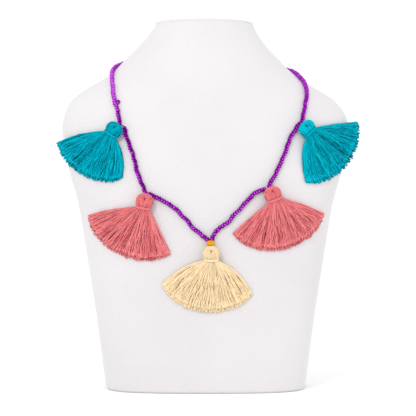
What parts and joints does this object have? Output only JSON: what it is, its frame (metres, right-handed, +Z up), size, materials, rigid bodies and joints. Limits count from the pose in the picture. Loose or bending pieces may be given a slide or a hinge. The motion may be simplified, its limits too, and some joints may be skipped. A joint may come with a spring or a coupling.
{
  "type": "tassel necklace on neck bust",
  "caption": "Seed bead necklace with five fanned cotton tassels and one orange bead, laid on a headless white leatherette neck bust.",
  "frame": {"origin": "middle of the bust's flat base, on the surface that it stands on", "axes": "+Z up, the bust's chest and the tassels face -Y, +X to the right as the chest is looked at"},
  "size_m": [0.2306, 0.096, 0.28],
  "materials": {
    "bust_leatherette": "white leatherette with a fine grain, soft sheen",
    "seed_beads": "glossy purple glass seed beads with a bright lining",
    "orange_bead": "glossy orange",
    "clasp_metal": "plain silver-coloured metal",
    "cotton_cream": "matt twisted cotton yarn",
    "cotton_pink": "matt twisted cotton yarn",
    "cotton_teal": "matt twisted cotton yarn"
  },
  "bodies": {
    "root": {"neck_bust": "bust_leatherette", "bead_strand_left": "seed_beads", "bead_strand_right": "seed_beads", "orange_bead": "orange_bead", "barrel_clasp": "clasp_metal", "tassel_cream": "cotton_cream", "tassel_pink_left": "cotton_pink", "tassel_pink_right": "cotton_pink", "tassel_teal_left": "cotton_teal", "tassel_teal_right": "cotton_teal", "binding_cream": "cotton_cream", "binding_pink_left": "cotton_pink", "binding_pink_right": "cotton_pink", "binding_teal_left": "cotton_teal", "binding_teal_right": "cotton_teal"}
  },
  "joints": []
}
